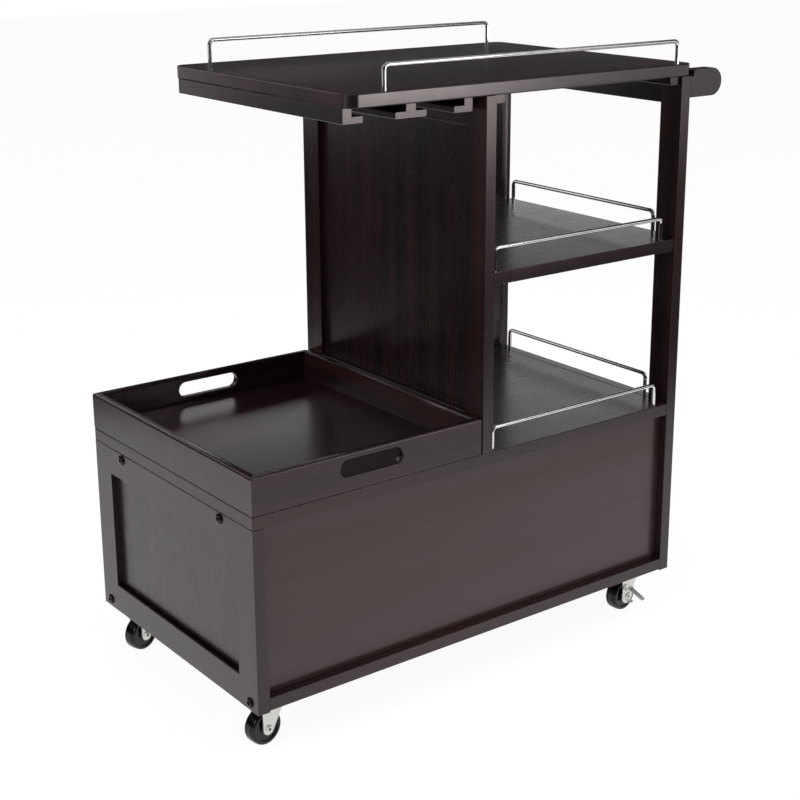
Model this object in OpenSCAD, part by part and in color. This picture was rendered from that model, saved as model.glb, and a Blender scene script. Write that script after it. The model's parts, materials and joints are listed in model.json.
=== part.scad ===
// Serving cart on four swivel casters. A closed base box carries a lift-off tray at the left and,
// at the right, a tower of two open bays under a long tabletop with stemware rails below its
// left end. Bent rods guard the shelves and the tabletop. A round grip stands off the right end.
// Lengths are millimetres. X runs along the cart to the grip end, Y to the back and Z up.
// The origin is on the floor, under the middle of the whole cart.

/* [Base] */
// Length of the base over its two end frames
base_l = 752; // [680:1:860]
// Depth of the cart from front to back
depth = 431; // [400:1:500]
// Thickness of every board, stile and rail
board_t = 18; // [16:0.5:22]
// Clear height inside the base box
cupboard_h = 236.5; // [180:0.5:300]
// How far the end frames hang below the base board
frame_drop = 2; // [0:0.5:4]
// Thickness of the base's front and back panels
front_panel_t = 12; // [9:0.5:15]
// Setback of the front and back panels from the edges of the boards
front_panel_setback = 13; // [5:0.5:20]
// Width of the two rails under the deck
deck_rail_w = 40; // [30:1:50]
// Centre of a deck rail from the front or back edge
deck_rail_inset = 81; // [65:1:84]

/* [Storage well under the tray] */
// Length of the well's mouth in the deck
well_l = 290; // [150:1:300]
// Width of the well's mouth, front to back
well_w = 220; // [120:1:225]
// Left edge of the well's mouth from the end of the base
well_x = 40; // [30:1:55]

/* [End frames and partition] */
// Width of the left end frame's stiles
left_stile_w = 45; // [38:1:60]
// Width of the stiles at the right end and in the partition
right_stile_w = 40; // [34:1:50]
// Height of the top and middle rails
rail_h = 40; // [35:1:50]
// Height of the end frames' bottom rails
bottom_rail_h = 42; // [36:1:55]
// Height of the partition's top rail
partition_top_rail_h = 42; // [36:1:60]
// Height of the partition's bottom rail
partition_bottom_rail_h = 52; // [40:1:80]
// Thickness of the panels held in the frames
panel_t = 6; // [4:0.5:7]
// Setback of a panel from the face of its frame
panel_setback = 8.5; // [3:0.5:9]
// Depth to which a panel or a tenon enters its groove
tongue_l = 8; // [5:0.5:9]

/* [Tower] */
// Gap between the tray and the partition
tray_gap = 2.6; // [1:0.2:10]
// Clear height of the lower bay
lower_bay_h = 236; // [180:1:300]
// Clear height of the upper bay
upper_bay_h = 236; // [180:1:300]
// Setback of the shelf's front and back edges
shelf_setback = 1.5; // [0:0.5:4]
// How far the shelf's end stands out past the right end frame
shelf_reach = 3; // [0.5:0.5:6]
// Width of the cleats under the tabletop
cleat_w = 18.5; // [12:0.5:24]
// Height of the cleats under the tabletop
cleat_h = 12; // [8:0.5:18]
// Setback of the cleats' ends from the front and back
cleat_inset = 5; // [2:1:30]

/* [Tabletop] */
// Left edge of the tabletop from the end of the base
top_x = 154; // [130:1:180]
// Overhang of the tabletop past the right end frame
top_overhang = 5.5; // [2:0.5:8]
// Corner radius of the tabletop
top_corner_r = 16; // [6:1:30]

/* [Stemware rails] */
// Depth of the rails below the tabletop
glass_rail_h = 20; // [16:0.5:26]
// Thickness of the feet that carry the glass bases
glass_foot_t = 9; // [5:0.5:10]
// Reach of a foot past its web
glass_foot_w = 17; // [12:0.5:20]
// Thickness of the left and right rails' webs
glass_web_t = 14; // [10:0.5:18]
// Thickness of the middle rail's web
glass_middle_web_t = 16; // [10:0.5:18]
// Offset of the middle rail to the right of halfway between the others
glass_middle_offset = 2.5; // [-5:0.5:5]
// Gap between the right rail and the partition
glass_right_gap = 11.6; // [5:0.2:20]
// Setback of the rails' ends from the front and back
glass_inset = 14; // [5:1:40]

/* [Gallery rods] */
// Diameter of the rods
rod_d = 6; // [4:0.5:7]
// Bend radius at the centre of the rod
rod_bend_r = 7; // [6:0.5:12]
// Height of the rod's centre above its board
rod_h = 32; // [22:1:45]
// Depth of a leg in its board
rod_seat = 8; // [5:0.5:11]
// First leg of the tabletop rods from the tabletop's left edge
long_rod_x = 57; // [30:1:60]
// Last leg of the tabletop rods from the tabletop's right edge
long_rod_end = 30.5; // [20:0.5:80]
// Setback of the tabletop rods from the edge
long_rod_inset = 5.5; // [5:0.5:12]
// Distance of the shelf rods' first leg from the partition
side_rod_x = 5.5; // [4:0.5:12]
// Distance of the shelf rods' last leg from the right end frame
side_rod_end = 21.9; // [6:0.1:60]
// Setback of the shelf rods from the front and back
side_rod_inset = 8; // [7:0.5:14]
// Distance of the end rods' legs from the stiles
end_rod_gap = 16.5; // [6:0.5:60]
// Setback of the shelf's end rod from the end of the shelf
end_rod_inset = 9.5; // [6:0.5:12]

/* [Handle] */
// Reach of the brackets past the right end frame
handle_reach = 65; // [45:1:90]
// Height of the brackets
bracket_h = 40; // [32:1:50]
// How far the brackets rise above the underside of the tabletop
bracket_rise = 9; // [4:0.5:14]
// Radius on the brackets' upper inner corner
bracket_corner_r = 6; // [3:0.5:8]
// Diameter of the round grip
grip_d = 29; // [24:0.5:32]
// Diameter of the grip's spigots
spigot_d = 12; // [8:0.5:16]
// Length of the grip's spigots
spigot_l = 10; // [6:0.5:12]

/* [Tray] */
// Length of the tray
tray_l = 368; // [320:1:400]
// Height of the tray's walls
tray_h = 52.5; // [45:0.5:70]
// Thickness of the tray's walls
tray_wall_t = 12; // [10:0.5:16]
// Rounding of the walls' top edges
tray_edge_r = 4; // [2:0.5:4.5]
// Thickness of the tray's floor
tray_floor_t = 6; // [4:0.5:8]
// Height of the floor's underside above the deck
tray_floor_lift = 5; // [3:0.5:8]
// Depth to which the floor enters the walls
tray_tongue_l = 5; // [3:0.5:6]
// Length of the hand holes
hand_hole_l = 99; // [85:1:130]
// Height of the hand holes
hand_hole_h = 23; // [20:0.5:26]
// Centre of the hand holes above the foot of the tray
hand_hole_z = 31.5; // [29:0.5:33]
// Softened edge round the hand holes
hand_hole_ease = 1.5; // [0.5:0.25:2.5]

/* [Casters] */
// Height of the base board above the floor
caster_h = 68; // [64:0.5:80]
// Diameter of the wheels
wheel_d = 50; // [44:0.5:50]
// Width of the wheels
wheel_w = 20; // [16:0.5:22]
// Radius of the crown across the tread
wheel_crown_r = 40; // [25:1:80]
// Distance of the axle behind the swivel axis
trail = 21; // [16:0.5:26]
// Swivel axis of the left casters from the left end
caster_inset_left = 50.5; // [46:0.5:70]
// Swivel axis of the right casters from the right end
caster_inset_right = 41; // [40:0.5:70]
// Swivel axis of the casters from the front or back
caster_inset_depth = 43.5; // [30:0.5:60]
// Turn of the front left caster at rest
turn_front_left = 8.5; // [-30:0.5:30]
// Turn of the back left caster at rest
turn_back_left = 16.5; // [-30:0.5:30]
// Turn of the front right caster at rest
turn_front_right = 7.5; // [-30:0.5:30]
// Turn of the back right caster at rest
turn_back_right = 12; // [-30:0.5:30]
// Distance of the top plates' screws from their edges
plate_margin = 5.5; // [5:0.25:6.5]
// Thickness of the top plates
plate_t = 2; // [1.5:0.25:2.5]
// Diameter of the raised ball race on a top plate
race_d = 26; // [20:0.5:28]
// Height of the ball race
race_h = 3.3; // [2.5:0.1:4]
// Thickness of the pressed steel forks
fork_t = 2; // [1.5:0.25:2.5]
// Outside radius of a fork's bends
fork_bend_r = 4; // [3:0.25:5]
// Reach of a fork's top ahead of the swivel axis
fork_front = 11; // [9:0.5:13]
// Reach of a fork's top behind the swivel axis
fork_back = 31; // [29:0.5:34]
// Radius of a fork's rounded ends
fork_end_r = 9; // [7:0.5:10]
// Diameter of the round top of a fork
fork_disc_d = 32; // [28:0.5:34]
// Diameter of the kingpins
kingpin_d = 8; // [6:0.5:10]
// Diameter of the kingpins' heads
kingpin_head_d = 13; // [12:0.5:15]
// Diameter of the wheel axles
axle_d = 6; // [5:0.5:8]
// Diameter of the axles' heads
axle_head_d = 9.5; // [9:0.5:11]
// Height of the axles' heads
axle_head_h = 2.5; // [1.5:0.25:3]
// Thickness of the brake levers
brake_t = 1.6; // [1.2:0.1:2]
// Radius of a brake lever round its axle
brake_hub_r = 12; // [10:0.5:13]
// Reach of a brake pedal out from its lever
pedal_l = 25; // [15:0.5:25]
// Width of a brake pedal
pedal_w = 9; // [7:0.5:11]
// Slope of a brake pedal below the level
pedal_slope = 24; // [10:1:35]

/* [Fasteners] */
// Diameter of the frame bolts
bolt_d = 6; // [5:0.5:8]
// Length of the frame bolts under their heads
bolt_l = 50; // [40:1:60]
// Diameter of the frame bolts' domed heads
bolt_head_d = 15; // [12:0.5:16]
// Height of the frame bolts' heads
bolt_head_h = 3; // [2:0.25:4]
// Size of the hexagon sockets in the bolts
bolt_socket_d = 5; // [4:0.5:6]
// Centre of the lower bolts and the dowels from the front or back edge
bolt_inset = 20.5; // [16:0.5:22]
// Diameter of the dowels
dowel_d = 8; // [6:0.5:9]
// Length of the dowels
dowel_l = 24; // [18:1:26]
// Diameter of the caster screws
screw_d = 3.5; // [3:0.25:4]
// Length of the caster screws under their heads
screw_l = 13; // [10:0.5:15]
// Diameter of the caster screws' heads
screw_head_d = 7; // [6:0.25:8]
// Height of the caster screws' heads
screw_head_h = 2; // [1.5:0.1:2.2]
// Distance between the screws of one caster
screw_pitch = 31; // [28:0.5:32]

/* [Fits] */
// Radial clearance of the pins and bolts
pin_fit = 0.05; // [0.02:0.01:0.09]
// Clearance on each side of a panel or tenon in its groove
groove_fit = 0.1; // [0.05:0.05:0.3]
// Clearance past the end of a tenon, dowel or leg
end_fit = 0.5; // [0.3:0.1:0.8]
// Running gap between turning steel parts
running_gap = 0.2; // [0.15:0.05:0.4]
// Gap beside a wheel in its fork
wheel_gap = 1; // [0.5:0.25:1.5]
// Clearance of the shelf round the stiles
shelf_fit = 0.5; // [0.3:0.1:1]
// Gap between a bracket and the edge of the tabletop
bracket_fit = 1; // [0.5:0.25:2]
// Rounding of the long edges of the boards
edge_r = 1; // [0.5:0.25:2]

/* [Hidden] */
$fn = 48;
through = 1;
espresso = [0.20, 0.15, 0.15];
dark_wood = [0.15, 0.12, 0.12];
beech = [0.72, 0.58, 0.40];
chrome = [0.80, 0.81, 0.82];
zinc = [0.74, 0.75, 0.74];
black_steel = [0.10, 0.08, 0.08];
black_plastic = [0.07, 0.07, 0.07];

// Ends of the cart. The bolt heads make its left end and the brackets its right one.
left_x = -(base_l + handle_reach - bolt_head_h) / 2;
right_x = left_x + base_l;
front_y = -depth / 2;
back_y = depth / 2;
whole_depth = [front_y, back_y];

// Left face of the partition from the end of the base
tower_x = tray_l + tray_gap;

// Lengths of the rods between leg centres
long_rod_l = base_l - top_x + top_overhang - long_rod_x - long_rod_end;
side_rod_l = base_l - tower_x - 2 * board_t - side_rod_x - side_rod_end;
end_rod_l = depth - 2 * right_stile_w - 2 * end_rod_gap;

// Width and length of the casters' top plates
plate_w = screw_pitch + 2 * plate_margin;

// Levels, from the casters up
base_z = caster_h;
box_z = base_z + board_t;
deck_z = box_z + cupboard_h;
deck_top = deck_z + board_t;
shelf_z = deck_top + lower_bay_h;
shelf_top = shelf_z + board_t;
top_z = shelf_top + upper_bay_h;
top_top = top_z + board_t;
frame_z = base_z - frame_drop;

// Places along the cart
left_in = left_x + board_t;
right_in = right_x - board_t;
partition_x = left_x + tower_x;
partition_in = partition_x + board_t;
top_left = left_x + top_x;
top_right = right_x + top_overhang;

// Rail heights of the end frames
left_top_rail = [deck_z - rail_h, deck_z];
bottom_rail = [frame_z, frame_z + bottom_rail_h];
right_middle_rail = [deck_top - rail_h, deck_top];
right_top_rail = [top_z - rail_h, top_z];
partition_bottom = [deck_top, deck_top + partition_bottom_rail_h];
partition_top = [top_z - partition_top_rail_h, top_z];

// Depths between the stiles
between_left = [front_y + left_stile_w, back_y - left_stile_w];
between_right = [front_y + right_stile_w, back_y - right_stile_w];

// Fastener places
bolt_rows = [front_y + bolt_inset, back_y - bolt_inset];
deck_rail_rows = [front_y + deck_rail_inset, back_y - deck_rail_inset];
bracket_rows = [front_y + board_t / 2, back_y - board_t / 2];
end_mid = right_x - board_t / 2;
partition_mid = partition_x + board_t / 2;
shelf_mid = shelf_z + board_t / 2;

// Handle
bracket_top = top_z + bracket_rise;
bracket_z = bracket_top - bracket_h;
grip_x = right_x + handle_reach - bracket_h / 2;
grip_z = bracket_z + bracket_h / 2;

// Caster heights below the base board
fork_top = -plate_t - race_h - running_gap;
axle_z = wheel_d / 2 - caster_h;
fork_half = wheel_w / 2 + wheel_gap + fork_t;

// General shapes. A span is a [low, high] pair on one axis.
function widen(span, by) = [span[0] - by, span[1] + by];

module block(x, y, z)
    translate([x[0], y[0], z[0]]) cube([x[1] - x[0], y[1] - y[0], z[1] - z[0]]);

module rounded_rect(u, v, r) {
    translate([u[0] + r, v[0]]) square([u[1] - u[0] - 2 * r, v[1] - v[0]]);
    translate([u[0], v[0] + r]) square([u[1] - u[0], v[1] - v[0] - 2 * r]);
    for (a = [u[0] + r, u[1] - r], b = [v[0] + r, v[1] - r]) translate([a, b]) circle(r);
}

// Extrusions that take a flat outline in (Y, Z), (X, Z) or (X, Y)
module along_x(x) translate([x[0], 0, 0]) rotate([90, 0, 90]) linear_extrude(x[1] - x[0]) children();
module along_y(y) translate([0, y[1], 0]) rotate([90, 0, 0]) linear_extrude(y[1] - y[0]) children();
module along_z(z) translate([0, 0, z[0]]) linear_extrude(z[1] - z[0]) children();

// A pin of diameter d between two heights on the local Z axis
module pin(d, z) translate([0, 0, z[0]]) cylinder(d = d, h = z[1] - z[0]);

// A low domed head that stands on the local plane z = 0, with a flat land on its crown
module dome(d, h, land = 0) {
    ball_z = (land * land / 4 + h * h - d * d / 4) / (2 * h);
    rotate_extrude() intersection() {
        translate([0, ball_z]) circle(norm([d / 2, ball_z]), $fn = 96);
        square([d / 2, h]);
    }
}

// Frame-and-panel joinery. The show side of a frame is -1 for its low X face and 1 for its high one.
function panel_span(x, show) = show < 0
    ? [x + panel_setback, x + panel_setback + panel_t]
    : [x + board_t - panel_setback - panel_t, x + board_t - panel_setback];

module groove(x, show, y, z) block(widen(panel_span(x, show), groove_fit), y, z);

// A stile with grooves over the given spans of height. Its inner edge faces 1 to the back or -1,
// and is left square, so that the rails meet it flush.
module stile(x, show, y, z, inner, grooves) difference() {
    mid = (y[0] + y[1]) / 2;
    along_z(z) {
        rounded_rect([x, x + board_t], y, edge_r);
        translate([x, inner > 0 ? mid : y[0]]) square([board_t, y[1] - mid]);
    }
    groove_l = tongue_l + end_fit;
    for (span = grooves) groove(x, show,
        inner > 0 ? [y[1] - groove_l, y[1] + through] : [y[0] - through, y[0] + groove_l], span);
}

// A rail between two stiles, with stub tenons in their grooves and its own grooves for a panel
module rail(x, show, y, z, groove_above, groove_below) difference() {
    groove_l = tongue_l + end_fit;
    union() {
        along_y(y) rounded_rect([x, x + board_t], z, edge_r);
        block(panel_span(x, show), widen(y, tongue_l), z);
    }
    if (groove_above)
        groove(x, show, widen(y, tongue_l + through), [z[1] - groove_l, z[1] + through]);
    if (groove_below)
        groove(x, show, widen(y, tongue_l + through), [z[0] - through, z[0] + groove_l]);
}

module panel(x, show, y, z)
    block(panel_span(x, show), widen(y, tongue_l), widen(z, tongue_l));

// Bolts run along X through the end frames, into the base board and the deck rails.
module at_bolts() {
    for (y = bolt_rows) translate([0, y, base_z + board_t / 2]) children();
    for (y = deck_rail_rows) translate([0, y, deck_z - board_t / 2]) children();
}

module at_bolt_ends() {
    at_bolts() translate([left_x, 0, 0]) rotate([0, 90, 0]) children();
    at_bolts() translate([right_x, 0, 0]) rotate([0, -90, 0]) children();
}

module bolt_holes() at_bolt_ends() pin(bolt_d + 2 * pin_fit, [-through, bolt_l + end_fit]);

module frame_bolt() difference() {
    union() {
        rotate([180, 0, 0]) dome(bolt_head_d, bolt_head_h, 1.4 * bolt_socket_d);
        pin(bolt_d, [0, bolt_l]);
    }
    translate([0, 0, -bolt_head_h - through])
        cylinder(d = bolt_socket_d, h = bolt_head_h - 0.5 + through, $fn = 6);
}

// Dowels. Each place is where the axis of a dowel crosses the joint.
shelf_dowels = [for (x = [partition_in, right_in], y = bolt_rows) [x, y, shelf_mid]];
bracket_dowels = [for (y = bracket_rows, share = [0.27, 0.73])
    [right_x, y, bracket_z + share * (top_z - bracket_z)]];
foot_dowels = [for (y = bolt_rows) [partition_mid, y, deck_top]];
top_dowels = [for (x = [partition_mid, end_mid], y = bolt_rows) [x, y, top_z]];

module flat_dowels(places, d, l)
    for (p = places) translate(p) rotate([0, 90, 0]) pin(d, [-l / 2, l / 2]);
module upright_dowels(places, d, l)
    for (p = places) translate(p) pin(d, [-l / 2, l / 2]);
module flat_dowel_holes(places) flat_dowels(places, dowel_d + 2 * pin_fit, dowel_l + 2 * end_fit);
module upright_dowel_holes(places)
    upright_dowels(places, dowel_d + 2 * pin_fit, dowel_l + 2 * end_fit);

// Left end frame
module left_stile(y, inner) color(espresso) difference() {
    stile(left_x, -1, y, [frame_z, deck_z], inner, [[frame_z - through, deck_z + through]]);
    bolt_holes();
}
module left_front_stile() left_stile([front_y, front_y + left_stile_w], 1);
module left_back_stile() left_stile([back_y - left_stile_w, back_y], -1);
module left_top_rail() color(espresso) difference() {
    rail(left_x, -1, between_left, left_top_rail, false, true);
    bolt_holes();
}
module left_bottom_rail() color(espresso)
    rail(left_x, -1, between_left, bottom_rail, true, false);
module left_panel() color(espresso)
    panel(left_x, -1, between_left, [bottom_rail[1], left_top_rail[0]]);

// Right end frame, closed below the deck and open above it
module right_stile(y, inner) color(dark_wood) difference() {
    stile(right_in, 1, y, [frame_z, top_z], inner,
        [[frame_z - through, deck_top], [right_top_rail[0], top_z + through]]);
    bolt_holes();
    flat_dowel_holes(concat(shelf_dowels, bracket_dowels));
    upright_dowel_holes(top_dowels);
}
module right_front_stile() right_stile([front_y, front_y + right_stile_w], 1);
module right_back_stile() right_stile([back_y - right_stile_w, back_y], -1);
module right_top_rail() color(dark_wood)
    rail(right_in, 1, between_right, right_top_rail, false, false);
module right_middle_rail() color(dark_wood) difference() {
    rail(right_in, 1, between_right, right_middle_rail, false, true);
    bolt_holes();
    lower_end_legs();
}
module right_bottom_rail() color(dark_wood)
    rail(right_in, 1, between_right, bottom_rail, true, false);
module right_panel() color(dark_wood)
    panel(right_in, 1, between_right, [bottom_rail[1], right_middle_rail[0]]);

// Partition between the tray and the open bays
module partition_stile(y, inner) color(dark_wood) difference() {
    stile(partition_x, -1, y, [deck_top, top_z], inner, [[deck_top - through, top_z + through]]);
    flat_dowel_holes(shelf_dowels);
    upright_dowel_holes(concat(foot_dowels, top_dowels));
}
module partition_front_stile() partition_stile([front_y, front_y + right_stile_w], 1);
module partition_back_stile() partition_stile([back_y - right_stile_w, back_y], -1);
module partition_top_rail() color(dark_wood)
    rail(partition_x, -1, between_right, partition_top, false, true);
module partition_bottom_rail() color(dark_wood)
    rail(partition_x, -1, between_right, partition_bottom, true, false);
module partition_panel() color(espresso)
    panel(partition_x, -1, between_right, [partition_bottom[1], partition_top[0]]);

// Base box
module base_board() color(espresso) difference() {
    along_x([left_in, right_in]) rounded_rect(whole_depth, [base_z, box_z], edge_r);
    bolt_holes();
    at_casters() at_screws() pin(screw_d + 2 * pin_fit, [-through, screw_l + end_fit]);
}
module box_panel(y) color(espresso) block([left_in, right_in], y, [box_z, deck_z]);
module front_panel()
    box_panel([front_y + front_panel_setback, front_y + front_panel_setback + front_panel_t]);
module back_panel()
    box_panel([back_y - front_panel_setback - front_panel_t, back_y - front_panel_setback]);
module deck_rails() color(dark_wood) difference() {
    for (y = deck_rail_rows) block([left_in, right_in],
        [y - deck_rail_w / 2, y + deck_rail_w / 2], [deck_z - board_t, deck_z]);
    bolt_holes();
}
module deck_board() color(espresso) difference() {
    along_x([left_x, right_in]) rounded_rect(whole_depth, [deck_z, deck_top], edge_r);
    block([left_x + well_x, left_x + well_x + well_l], [-well_w / 2, well_w / 2],
        widen([deck_z, deck_top], through));
    upright_dowel_holes(foot_dowels);
    side_legs(deck_top);
}

// Shelf between the two bays. Its right end passes out between the stiles of the end frame.
module middle_shelf() color(dark_wood) difference() {
    union() {
        along_x([partition_in, right_in])
            rounded_rect(widen(whole_depth, -shelf_setback), [shelf_z, shelf_top], edge_r);
        block([right_in, right_x + shelf_reach], widen(between_right, -shelf_fit),
            [shelf_z, shelf_top]);
    }
    flat_dowel_holes(shelf_dowels);
    side_legs(shelf_top);
    middle_end_legs();
}

// Tabletop and what hangs below it
module tabletop() color(dark_wood) difference() {
    along_z([top_z, top_top]) rounded_rect([top_left, top_right], whole_depth, top_corner_r);
    upright_dowel_holes(top_dowels);
    table_legs();
}
module cleat(x, open_side) {
    r = cleat_h / 3;
    corner_x = open_side > 0 ? x[1] - r : x[0] + r;
    along_y(widen(whole_depth, -cleat_inset)) difference() {
        translate([x[0], top_z - cleat_h]) square([x[1] - x[0], cleat_h]);
        difference() {
            translate([open_side > 0 ? corner_x : x[0] - through, top_z - cleat_h - through])
                square([r + through, r + through]);
            translate([corner_x, top_z - cleat_h + r]) circle(r);
        }
    }
}
module top_cleats() color(dark_wood) {
    cleat([partition_in, partition_in + cleat_w], 1);
    cleat([right_in - cleat_w, right_in], -1);
}

// A stemware rail is an upright web with a rounded foot on one side or on both.
module glass_rail(web, foot) along_y(widen(whole_depth, -glass_inset)) {
    translate([web[0], top_z - glass_rail_h + glass_foot_t / 2])
        square([web[1] - web[0], glass_rail_h - glass_foot_t / 2]);
    rounded_rect(foot, [top_z - glass_rail_h, top_z - glass_rail_h + glass_foot_t], 1.5 * edge_r);
}
module left_glass_rail() color(dark_wood)
    glass_rail([top_left, top_left + glass_web_t], [top_left, top_left + glass_web_t + glass_foot_w]);
module middle_glass_rail() color(dark_wood) {
    x = (top_left + partition_x - glass_right_gap) / 2 + glass_middle_offset;
    half = glass_middle_web_t / 2;
    glass_rail([x - half, x + half], [x - half - glass_foot_w, x + half + glass_foot_w]);
}
module right_glass_rail() color(dark_wood) {
    x = partition_x - glass_right_gap;
    glass_rail([x - glass_web_t, x], [x - glass_web_t - glass_foot_w, x]);
}

// Gallery rods. A rod starts at the local origin on its board and runs along the local X axis.
module rod_bend() translate([rod_bend_r, 0, rod_h - rod_bend_r])
    rotate([90, 0, 0]) rotate([0, 0, 90]) rotate_extrude(angle = 90)
        translate([rod_bend_r, 0]) circle(d = rod_d);
module gallery(l) {
    pin(rod_d, [-rod_seat, rod_h - rod_bend_r]);
    rod_bend();
    translate([rod_bend_r, 0, rod_h]) rotate([0, 90, 0]) pin(rod_d, [0, l - 2 * rod_bend_r]);
    translate([l, 0, 0]) mirror([1, 0, 0]) rod_bend();
    translate([l, 0, 0]) pin(rod_d, [-rod_seat, rod_h - rod_bend_r]);
}
module legs(l) for (x = [0, l]) translate([x, 0, 0])
    pin(rod_d + 2 * pin_fit, [-rod_seat - end_fit, through]);

module at_table_rods() for (y = widen(whole_depth, -long_rod_inset))
    translate([top_left + long_rod_x, y, top_top]) children();
module at_side_rods(z) for (y = widen(whole_depth, -side_rod_inset))
    translate([partition_in + side_rod_x, y, z]) children();
module at_end_rod(x, z) translate([x, -end_rod_l / 2, z]) rotate([0, 0, 90]) children();
shelf_end_rod_x = right_x + shelf_reach - end_rod_inset;

module table_legs() at_table_rods() legs(long_rod_l);
module side_legs(z) at_side_rods(z) legs(side_rod_l);
module middle_end_legs() at_end_rod(shelf_end_rod_x, shelf_top) legs(end_rod_l);
module lower_end_legs() at_end_rod(end_mid, deck_top) legs(end_rod_l);

module table_galleries() color(chrome) at_table_rods() gallery(long_rod_l);
module middle_side_galleries() color(chrome) at_side_rods(shelf_top) gallery(side_rod_l);
module lower_side_galleries() color(chrome) at_side_rods(deck_top) gallery(side_rod_l);
module middle_end_gallery() color(chrome)
    at_end_rod(shelf_end_rod_x, shelf_top) gallery(end_rod_l);
module lower_end_gallery() color(chrome) at_end_rod(end_mid, deck_top) gallery(end_rod_l);

// Handle. The bracket's outline has a round outer end and a step that clears the tabletop.
module bracket_outline() difference() {
    union() {
        translate([right_x, bracket_z]) square([grip_x - right_x, bracket_h]);
        translate([grip_x, grip_z]) circle(bracket_h / 2, $fn = 96);
    }
    step_x = top_right + bracket_fit + bracket_corner_r;
    difference() {
        translate([right_x - through, top_z - bracket_fit])
            square([step_x - right_x + through, bracket_rise + bracket_fit + through]);
        translate([step_x, bracket_top - bracket_corner_r]) circle(bracket_corner_r);
        translate([step_x - bracket_corner_r, top_z - 2 * bracket_fit])
            square([2 * bracket_corner_r, bracket_rise - bracket_corner_r + 2 * bracket_fit]);
    }
}
module bracket(y, spigot) color(dark_wood) difference() {
    along_y(y) bracket_outline();
    translate([grip_x, y[0] + board_t / 2, grip_z]) rotate([spigot * 90, 0, 0])
        pin(spigot_d + 2 * pin_fit, [board_t / 2 - spigot_l - end_fit, board_t / 2 + through]);
    flat_dowel_holes(bracket_dowels);
}
module front_bracket() bracket([front_y, front_y + board_t], -1);
module back_bracket() bracket([back_y - board_t, back_y], 1);
module handle_grip() color(dark_wood) translate([grip_x, 0, grip_z]) rotate([90, 0, 0]) {
    grip = widen(whole_depth, -board_t);
    pin(grip_d, grip);
    pin(spigot_d, widen(grip, spigot_l));
}

// Tray. Its four walls meet in mitres and hold the floor in a groove.
tray_mid_x = left_x + tray_l / 2;
module wall_outline() {
    rounded_rect([0, tray_wall_t], [tray_h / 2, tray_h], tray_edge_r);
    square([tray_wall_t, tray_h * 3 / 4]);
}
// A wall of length l along the local X axis, its outer face on the local plane y = 0
module tray_wall(l) difference() {
    translate([-l / 2, 0, 0]) rotate([90, 0, 90]) linear_extrude(l) wall_outline();
    for (side = [0, 1]) mirror([side, 0, 0])
        translate([l / 2, 0, 0]) rotate([0, 0, 45]) translate([0, -l / 2, -through])
            cube([l, l, tray_h + 2 * through]);
    block([-l, l], [tray_wall_t - tray_tongue_l - end_fit, tray_wall_t + through],
        widen([tray_floor_lift, tray_floor_lift + tray_floor_t], groove_fit));
}
// A long hole with round ends, its edges eased on both faces of the wall
module hand_hole() translate([0, 0, hand_hole_z]) rotate([-90, 0, 0]) {
    r = hand_hole_h / 2;
    reach = hand_hole_l / 2 - r;
    e = hand_hole_ease;
    for (x = [-reach, reach]) translate([x, 0, 0]) {
        pin(2 * r, [-through, tray_wall_t + through]);
        cylinder(r1 = r + e, r2 = r, h = e);
        translate([0, 0, tray_wall_t - e]) cylinder(r1 = r, r2 = r + e, h = e);
    }
    rotate([90, 0, 90]) translate([0, 0, -reach]) linear_extrude(2 * reach) polygon([
        [-r - e, 0], [-r, e], [-r, tray_wall_t - e], [-r - e, tray_wall_t],
        [r + e, tray_wall_t], [r, tray_wall_t - e], [r, e], [r + e, 0]]);
}
module tray_front_wall() color(espresso) translate([tray_mid_x, front_y, deck_top])
    difference() {
        tray_wall(tray_l);
        hand_hole();
    }
module tray_back_wall() color(espresso) translate([tray_mid_x, back_y, deck_top])
    rotate([0, 0, 180]) difference() {
        tray_wall(tray_l);
        hand_hole();
    }
module tray_left_wall() color(espresso) translate([left_x, 0, deck_top])
    rotate([0, 0, -90]) tray_wall(depth);
module tray_right_wall() color(espresso) translate([left_x + tray_l, 0, deck_top])
    rotate([0, 0, 90]) tray_wall(depth);
module tray_floor() color(dark_wood) {
    inset = tray_wall_t - tray_tongue_l;
    block([left_x + inset, left_x + tray_l - inset], widen(whole_depth, -inset),
        [deck_top + tray_floor_lift, deck_top + tray_floor_lift + tray_floor_t]);
}

// Casters. Each local frame has its origin on the swivel axis, under the base board, with its
// X axis pointing ahead of the swivel, away from the wheel.
caster_left_x = left_x + caster_inset_left;
caster_right_x = right_x - caster_inset_right;
caster_front_y = front_y + caster_inset_depth;
caster_back_y = back_y - caster_inset_depth;

module at_caster(x, y, turn = 0) translate([x, y, base_z]) rotate([0, 0, turn]) children();
module at_front_left() at_caster(caster_left_x, caster_front_y, turn_front_left) children();
module at_back_left() at_caster(caster_left_x, caster_back_y, turn_back_left) children();
module at_front_right() at_caster(caster_right_x, caster_front_y, turn_front_right) children();
module at_back_right() at_caster(caster_right_x, caster_back_y, turn_back_right) children();
module at_casters()
    for (x = [caster_left_x, caster_right_x], y = [caster_front_y, caster_back_y])
        at_caster(x, y) children();
module at_screws()
    for (x = [-1, 1] * screw_pitch / 2, y = [-1, 1] * screw_pitch / 2)
        translate([x, y, 0]) children();

// Top plate with its ball race, and the kingpin that is riveted into it
module caster_plate() {
    head_z = fork_top - fork_t - running_gap;
    difference() {
        along_z([-plate_t, 0])
            rounded_rect(plate_w / 2 * [-1, 1], plate_w / 2 * [-1, 1], plate_w / 8);
        at_screws() pin(screw_d + 2 * pin_fit, widen([-plate_t, 0], through));
    }
    pin(race_d, [-plate_t - race_h, -plate_t]);
    pin(kingpin_d, [head_z, -plate_t]);
    translate([0, 0, head_z]) rotate([180, 0, 0]) dome(kingpin_head_d, kingpin_head_d / 4);
}
module caster_plates() color(zinc) at_casters() caster_plate();

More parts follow.
